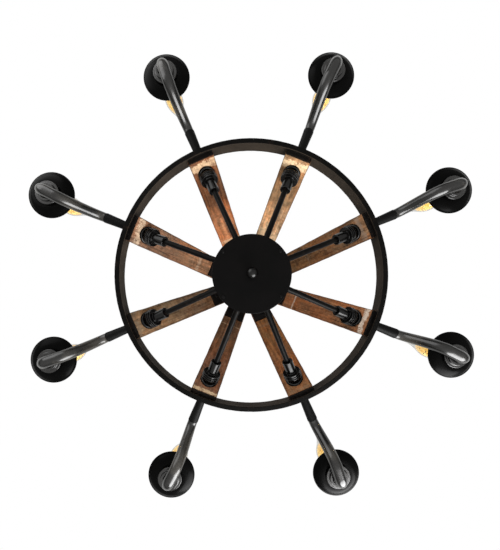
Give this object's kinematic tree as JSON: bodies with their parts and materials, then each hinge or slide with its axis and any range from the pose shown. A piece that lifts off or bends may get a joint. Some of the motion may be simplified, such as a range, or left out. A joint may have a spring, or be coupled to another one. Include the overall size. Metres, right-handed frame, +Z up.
{
  "type": "multi arm chandelier",
  "caption": "Hanging chandelier: wooden planks rise from a steel ring to a crown, braced by thin pipes from a hub, with bent arms holding candle lamps.",
  "frame": {"origin": "centre of the ceiling crossbar's slot pattern, on the ceiling plane", "axes": "+Z up, away from the fixture and into the ceiling; +X along the crossbar's slots"},
  "size_m": [0.8252, 0.8252, 0.433],
  "materials": {
    "reclaimed_wood": "worn, distressed",
    "black_iron": "satin, slightly textured",
    "satin_black": "satin",
    "gloss_black": "gloss",
    "black_phenolic": "matte",
    "zinc_steel": "zinc plated",
    "screw_steel": "blackened",
    "amber_bulb": "clear with amber glow"
  },
  "bodies": {
    "ceiling": {"canopy": "black_iron", "crossbar": "zinc_steel", "swivel_fork": "black_iron"},
    "swivel": {"swivel_cross": "zinc_steel"},
    "fixture": {"stem_fork": "black_iron", "stem": "black_iron", "lock_nut": "zinc_steel", "crown": "black_iron", "centre_tube": "black_iron", "hub_box": "black_iron", "hub_cover": "satin_black", "hub_screws": "screw_steel", "finial": "gloss_black", "ring": "black_iron", "plank_feet": "black_iron", "plank_screws": "screw_steel", "pipe_flanges": "black_iron", "arm_sleeves": "gloss_black", "cup_collars": "gloss_black", "sockets": "black_phenolic", "plank_1": "reclaimed_wood", "plank_2": "reclaimed_wood", "plank_3": "reclaimed_wood", "plank_4": "reclaimed_wood", "plank_5": "reclaimed_wood", "plank_6": "reclaimed_wood", "plank_7": "reclaimed_wood", "plank_8": "reclaimed_wood", "pipe_1": "black_iron", "pipe_2": "black_iron", "pipe_3": "black_iron", "pipe_4": "black_iron", "pipe_5": "black_iron", "pipe_6": "black_iron", "pipe_7": "black_iron", "pipe_8": "black_iron", "arm_1": "gloss_black", "arm_2": "gloss_black", "arm_3": "gloss_black", "arm_4": "gloss_black", "arm_5": "gloss_black", "arm_6": "gloss_black", "arm_7": "gloss_black", "arm_8": "gloss_black", "cup_1": "satin_black", "cup_2": "satin_black", "cup_3": "satin_black", "cup_4": "satin_black", "cup_5": "satin_black", "cup_6": "satin_black", "cup_7": "satin_black", "cup_8": "satin_black"},
    "bulb_1": {"bulb_1": "amber_bulb"},
    "bulb_2": {"bulb_2": "amber_bulb"},
    "bulb_3": {"bulb_3": "amber_bulb"},
    "bulb_4": {"bulb_4": "amber_bulb"},
    "bulb_5": {"bulb_5": "amber_bulb"},
    "bulb_6": {"bulb_6": "amber_bulb"},
    "bulb_7": {"bulb_7": "amber_bulb"},
    "bulb_8": {"bulb_8": "amber_bulb"}
  },
  "joints": [
    {"name": "swivel_tilt_x", "type": "hinge", "parent": "ceiling", "child": "swivel", "pos_m": [0, 0, -0.05], "axis": [1, 0, 0], "range_deg": [-20, 20]},
    {"name": "swivel_tilt_y", "type": "hinge", "parent": "swivel", "child": "fixture", "pos_m": [0, 0, -0.05], "axis": [0, 1, 0], "range_deg": [-20, 20]},
    {"name": "bulb_1_lift", "type": "slide", "parent": "fixture", "child": "bulb_1", "axis": [0, 0, 1], "range_m": [0, 0.03]},
    {"name": "bulb_2_lift", "type": "slide", "parent": "fixture", "child": "bulb_2", "axis": [0, 0, 1], "range_m": [0, 0.03]},
    {"name": "bulb_3_lift", "type": "slide", "parent": "fixture", "child": "bulb_3", "axis": [0, 0, 1], "range_m": [0, 0.03]},
    {"name": "bulb_4_lift", "type": "slide", "parent": "fixture", "child": "bulb_4", "axis": [0, 0, 1], "range_m": [0, 0.03]},
    {"name": "bulb_5_lift", "type": "slide", "parent": "fixture", "child": "bulb_5", "axis": [0, 0, 1], "range_m": [0, 0.03]},
    {"name": "bulb_6_lift", "type": "slide", "parent": "fixture", "child": "bulb_6", "axis": [0, 0, 1], "range_m": [0, 0.03]},
    {"name": "bulb_7_lift", "type": "slide", "parent": "fixture", "child": "bulb_7", "axis": [0, 0, 1], "range_m": [0, 0.03]},
    {"name": "bulb_8_lift", "type": "slide", "parent": "fixture", "child": "bulb_8", "axis": [0, 0, 1], "range_m": [0, 0.03]}
  ]
}
